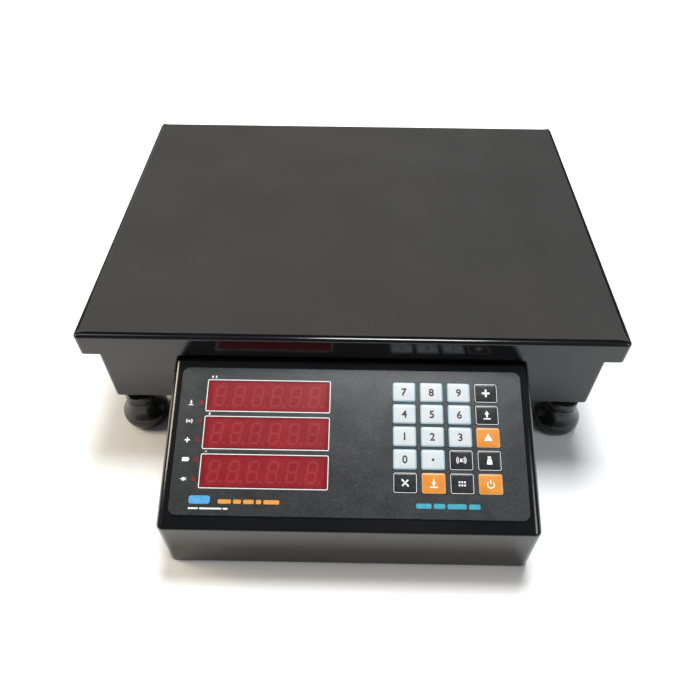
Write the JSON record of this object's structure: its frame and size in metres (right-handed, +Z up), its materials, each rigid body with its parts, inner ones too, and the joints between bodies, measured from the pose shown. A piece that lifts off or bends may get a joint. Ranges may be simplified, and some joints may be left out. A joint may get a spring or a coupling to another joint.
{
  "type": "counting scale",
  "caption": "Bench counting scale: flat pan with an anti-slip mat on a load cell, steel base on levelling feet, and a sloping front console with windows and keys.",
  "frame": {"origin": "on the ground, under the middle of the whole scale", "axes": "+Z up, +Y from the console in front towards the rear of the platform, +X to the user's right"},
  "size_m": [0.4, 0.412, 0.122],
  "materials": {
    "black_paint": "gloss black powder coat with a fine orange-peel surface",
    "mat_rubber": "charcoal anti-slip mat with a fine raised diamond grain",
    "rubber": "smooth black moulded rubber",
    "zinc_steel": "zinc-plated steel",
    "plated_fasteners": "bright zinc plating",
    "cell_aluminium": "milled aluminium",
    "overlay_film": "printed film with a fine sparkle",
    "red_window": "transparent red film",
    "display_block": "dark display block with red-tinted segments",
    "lamp_lens": "red diffused lens",
    "circuit_board": "green solder mask",
    "board_parts": "moulded black parts",
    "battery_case": "moulded black case",
    "transformer_core": "laminated steel",
    "inlet_plastic": "moulded black socket",
    "cable_sheath": "grey-black cable sheath",
    "key_white": "printed white key",
    "key_orange": "printed orange key",
    "key_black": "printed black key with a white outline"
  },
  "bodies": {
    "base": {"console_housing": "black_paint", "console_bottom": "black_paint", "base_chassis": "black_paint", "cable_grommet": "rubber", "base_channel": "zinc_steel", "cell_spacer": "zinc_steel", "battery_strap": "zinc_steel", "cell_bolts_lower": "plated_fasteners", "overload_stops": "plated_fasteners", "foot_lock_nuts": "plated_fasteners", "small_screws": "plated_fasteners", "console_bolts": "plated_fasteners", "board_pillars": "plated_fasteners", "load_cell": "cell_aluminium", "console_overlay": "overlay_film", "display_windows": "red_window", "display_modules": "display_block", "indicator_lamps": "lamp_lens", "indicator_board": "circuit_board", "board_components": "board_parts", "tact_switches": "board_parts", "battery": "battery_case", "transformer": "transformer_core", "mains_inlet": "inlet_plastic", "cell_cable": "cable_sheath", "power_leads": "cable_sheath"},
    "load_carrier": {"load_spider": "zinc_steel", "spider_spacer": "zinc_steel", "cell_bolts_upper": "plated_fasteners", "pan_cushions": "rubber"},
    "pan": {"platform_pan": "black_paint", "platform_mat": "mat_rubber"},
    "stud_front_left": {"foot_stud_front_left": "plated_fasteners"},
    "foot_front_left": {"foot_pad_front_left": "rubber"},
    "stud_front_right": {"foot_stud_front_right": "plated_fasteners"},
    "foot_front_right": {"foot_pad_front_right": "rubber"},
    "stud_rear_left": {"foot_stud_rear_left": "plated_fasteners"},
    "foot_rear_left": {"foot_pad_rear_left": "rubber"},
    "stud_rear_right": {"foot_stud_rear_right": "plated_fasteners"},
    "foot_rear_right": {"foot_pad_rear_right": "rubber"},
    "key_7_body": {"key_7": "key_white"},
    "key_8_body": {"key_8": "key_white"},
    "key_9_body": {"key_9": "key_white"},
    "key_memory_add_body": {"key_memory_add": "key_black"},
    "key_4_body": {"key_4": "key_white"},
    "key_5_body": {"key_5": "key_white"},
    "key_6_body": {"key_6": "key_white"},
    "key_memory_recall_body": {"key_memory_recall": "key_black"},
    "key_1_body": {"key_1": "key_white"},
    "key_2_body": {"key_2": "key_white"},
    "key_3_body": {"key_3": "key_white"},
    "key_zero_body": {"key_zero": "key_orange"},
    "key_0_body": {"key_0": "key_white"},
    "key_point_body": {"key_point": "key_white"},
    "key_alarm_body": {"key_alarm": "key_black"},
    "key_unit_weight_body": {"key_unit_weight": "key_black"},
    "key_clear_body": {"key_clear": "key_black"},
    "key_tare_body": {"key_tare": "key_orange"},
    "key_piece_count_body": {"key_piece_count": "key_black"},
    "key_power_body": {"key_power": "key_orange"}
  },
  "joints": [
    {"name": "platform_deflection", "type": "slide", "parent": "base", "child": "load_carrier", "axis": [0, 0, -1], "range_m": [0, 0.0006], "stiffness_N_per_m": 400000, "springref_m": -0.0002, "deforming": ["load_cell"]},
    {"name": "pan_lift_off", "type": "slide", "parent": "load_carrier", "child": "pan", "axis": [0, 0, 1], "range_m": [0, 0.06]},
    {"name": "foot_front_left_extend", "type": "slide", "parent": "base", "child": "stud_front_left", "axis": [0, 0, -1], "range_m": [0, 0.0075]},
    {"name": "foot_front_left_turn", "type": "hinge", "parent": "stud_front_left", "child": "foot_front_left", "pos_m": [-0.1765, -0.0745, 0.02], "axis": [0, 0, -1], "range_deg": [0, 1801]},
    {"name": "foot_front_right_extend", "type": "slide", "parent": "base", "child": "stud_front_right", "axis": [0, 0, -1], "range_m": [0, 0.0075]},
    {"name": "foot_front_right_turn", "type": "hinge", "parent": "stud_front_right", "child": "foot_front_right", "pos_m": [0.1765, -0.0745, 0.02], "axis": [0, 0, -1], "range_deg": [0, 1801]},
    {"name": "foot_rear_left_extend", "type": "slide", "parent": "base", "child": "stud_rear_left", "axis": [0, 0, -1], "range_m": [0, 0.0075]},
    {"name": "foot_rear_left_turn", "type": "hinge", "parent": "stud_rear_left", "child": "foot_rear_left", "pos_m": [-0.1765, 0.1865, 0.02], "axis": [0, 0, -1], "range_deg": [0, 1801]},
    {"name": "foot_rear_right_extend", "type": "slide", "parent": "base", "child": "stud_rear_right", "axis": [0, 0, -1], "range_m": [0, 0.0075]},
    {"name": "foot_rear_right_turn", "type": "hinge", "parent": "stud_rear_right", "child": "foot_rear_right", "pos_m": [0.1765, 0.1865, 0.02], "axis": [0, 0, -1], "range_deg": [0, 1801]},
    {"name": "key_7_press", "type": "slide", "parent": "base", "child": "key_7_body", "axis": [0, 0.3746, -0.9272], "range_m": [0, 0.0003], "stiffness_N_per_m": 5000, "springref_m": -0.0001},
    {"name": "key_8_press", "type": "slide", "parent": "base", "child": "key_8_body", "axis": [0, 0.3746, -0.9272], "range_m": [0, 0.0003], "stiffness_N_per_m": 5000, "springref_m": -0.0001},
    {"name": "key_9_press", "type": "slide", "parent": "base", "child": "key_9_body", "axis": [0, 0.3746, -0.9272], "range_m": [0, 0.0003], "stiffness_N_per_m": 5000, "springref_m": -0.0001},
    {"name": "key_memory_add_press", "type": "slide", "parent": "base", "child": "key_memory_add_body", "axis": [0, 0.3746, -0.9272], "range_m": [0, 0.0003], "stiffness_N_per_m": 5000, "springref_m": -0.0001},
    {"name": "key_4_press", "type": "slide", "parent": "base", "child": "key_4_body", "axis": [0, 0.3746, -0.9272], "range_m": [0, 0.0003], "stiffness_N_per_m": 5000, "springref_m": -0.0001},
    {"name": "key_5_press", "type": "slide", "parent": "base", "child": "key_5_body", "axis": [0, 0.3746, -0.9272], "range_m": [0, 0.0003], "stiffness_N_per_m": 5000, "springref_m": -0.0001},
    {"name": "key_6_press", "type": "slide", "parent": "base", "child": "key_6_body", "axis": [0, 0.3746, -0.9272], "range_m": [0, 0.0003], "stiffness_N_per_m": 5000, "springref_m": -0.0001},
    {"name": "key_memory_recall_press", "type": "slide", "parent": "base", "child": "key_memory_recall_body", "axis": [0, 0.3746, -0.9272], "range_m": [0, 0.0003], "stiffness_N_per_m": 5000, "springref_m": -0.0001},
    {"name": "key_1_press", "type": "slide", "parent": "base", "child": "key_1_body", "axis": [0, 0.3746, -0.9272], "range_m": [0, 0.0003], "stiffness_N_per_m": 5000, "springref_m": -0.0001},
    {"name": "key_2_press", "type": "slide", "parent": "base", "child": "key_2_body", "axis": [0, 0.3746, -0.9272], "range_m": [0, 0.0003], "stiffness_N_per_m": 5000, "springref_m": -0.0001},
    {"name": "key_3_press", "type": "slide", "parent": "base", "child": "key_3_body", "axis": [0, 0.3746, -0.9272], "range_m": [0, 0.0003], "stiffness_N_per_m": 5000, "springref_m": -0.0001},
    {"name": "key_zero_press", "type": "slide", "parent": "base", "child": "key_zero_body", "axis": [0, 0.3746, -0.9272], "range_m": [0, 0.0003], "stiffness_N_per_m": 5000, "springref_m": -0.0001},
    {"name": "key_0_press", "type": "slide", "parent": "base", "child": "key_0_body", "axis": [0, 0.3746, -0.9272], "range_m": [0, 0.0003], "stiffness_N_per_m": 5000, "springref_m": -0.0001},
    {"name": "key_point_press", "type": "slide", "parent": "base", "child": "key_point_body", "axis": [0, 0.3746, -0.9272], "range_m": [0, 0.0003], "stiffness_N_per_m": 5000, "springref_m": -0.0001},
    {"name": "key_alarm_press", "type": "slide", "parent": "base", "child": "key_alarm_body", "axis": [0, 0.3746, -0.9272], "range_m": [0, 0.0003], "stiffness_N_per_m": 5000, "springref_m": -0.0001},
    {"name": "key_unit_weight_press", "type": "slide", "parent": "base", "child": "key_unit_weight_body", "axis": [0, 0.3746, -0.9272], "range_m": [0, 0.0003], "stiffness_N_per_m": 5000, "springref_m": -0.0001},
    {"name": "key_clear_press", "type": "slide", "parent": "base", "child": "key_clear_body", "axis": [0, 0.3746, -0.9272], "range_m": [0, 0.0003], "stiffness_N_per_m": 5000, "springref_m": -0.0001},
    {"name": "key_tare_press", "type": "slide", "parent": "base", "child": "key_tare_body", "axis": [0, 0.3746, -0.9272], "range_m": [0, 0.0003], "stiffness_N_per_m": 5000, "springref_m": -0.0001},
    {"name": "key_piece_count_press", "type": "slide", "parent": "base", "child": "key_piece_count_body", "axis": [0, 0.3746, -0.9272], "range_m": [0, 0.0003], "stiffness_N_per_m": 5000, "springref_m": -0.0001},
    {"name": "key_power_press", "type": "slide", "parent": "base", "child": "key_power_body", "axis": [0, 0.3746, -0.9272], "range_m": [0, 0.0003], "stiffness_N_per_m": 5000, "springref_m": -0.0001}
  ],
  "couplings": [
    {"joint": "foot_front_left_turn", "follows": "foot_front_left_extend", "rad_per_m": 4188.8},
    {"joint": "foot_front_right_turn", "follows": "foot_front_right_extend", "rad_per_m": 4188.8},
    {"joint": "foot_rear_left_turn", "follows": "foot_rear_left_extend", "rad_per_m": 4188.8},
    {"joint": "foot_rear_right_turn", "follows": "foot_rear_right_extend", "rad_per_m": 4188.8}
  ]
}
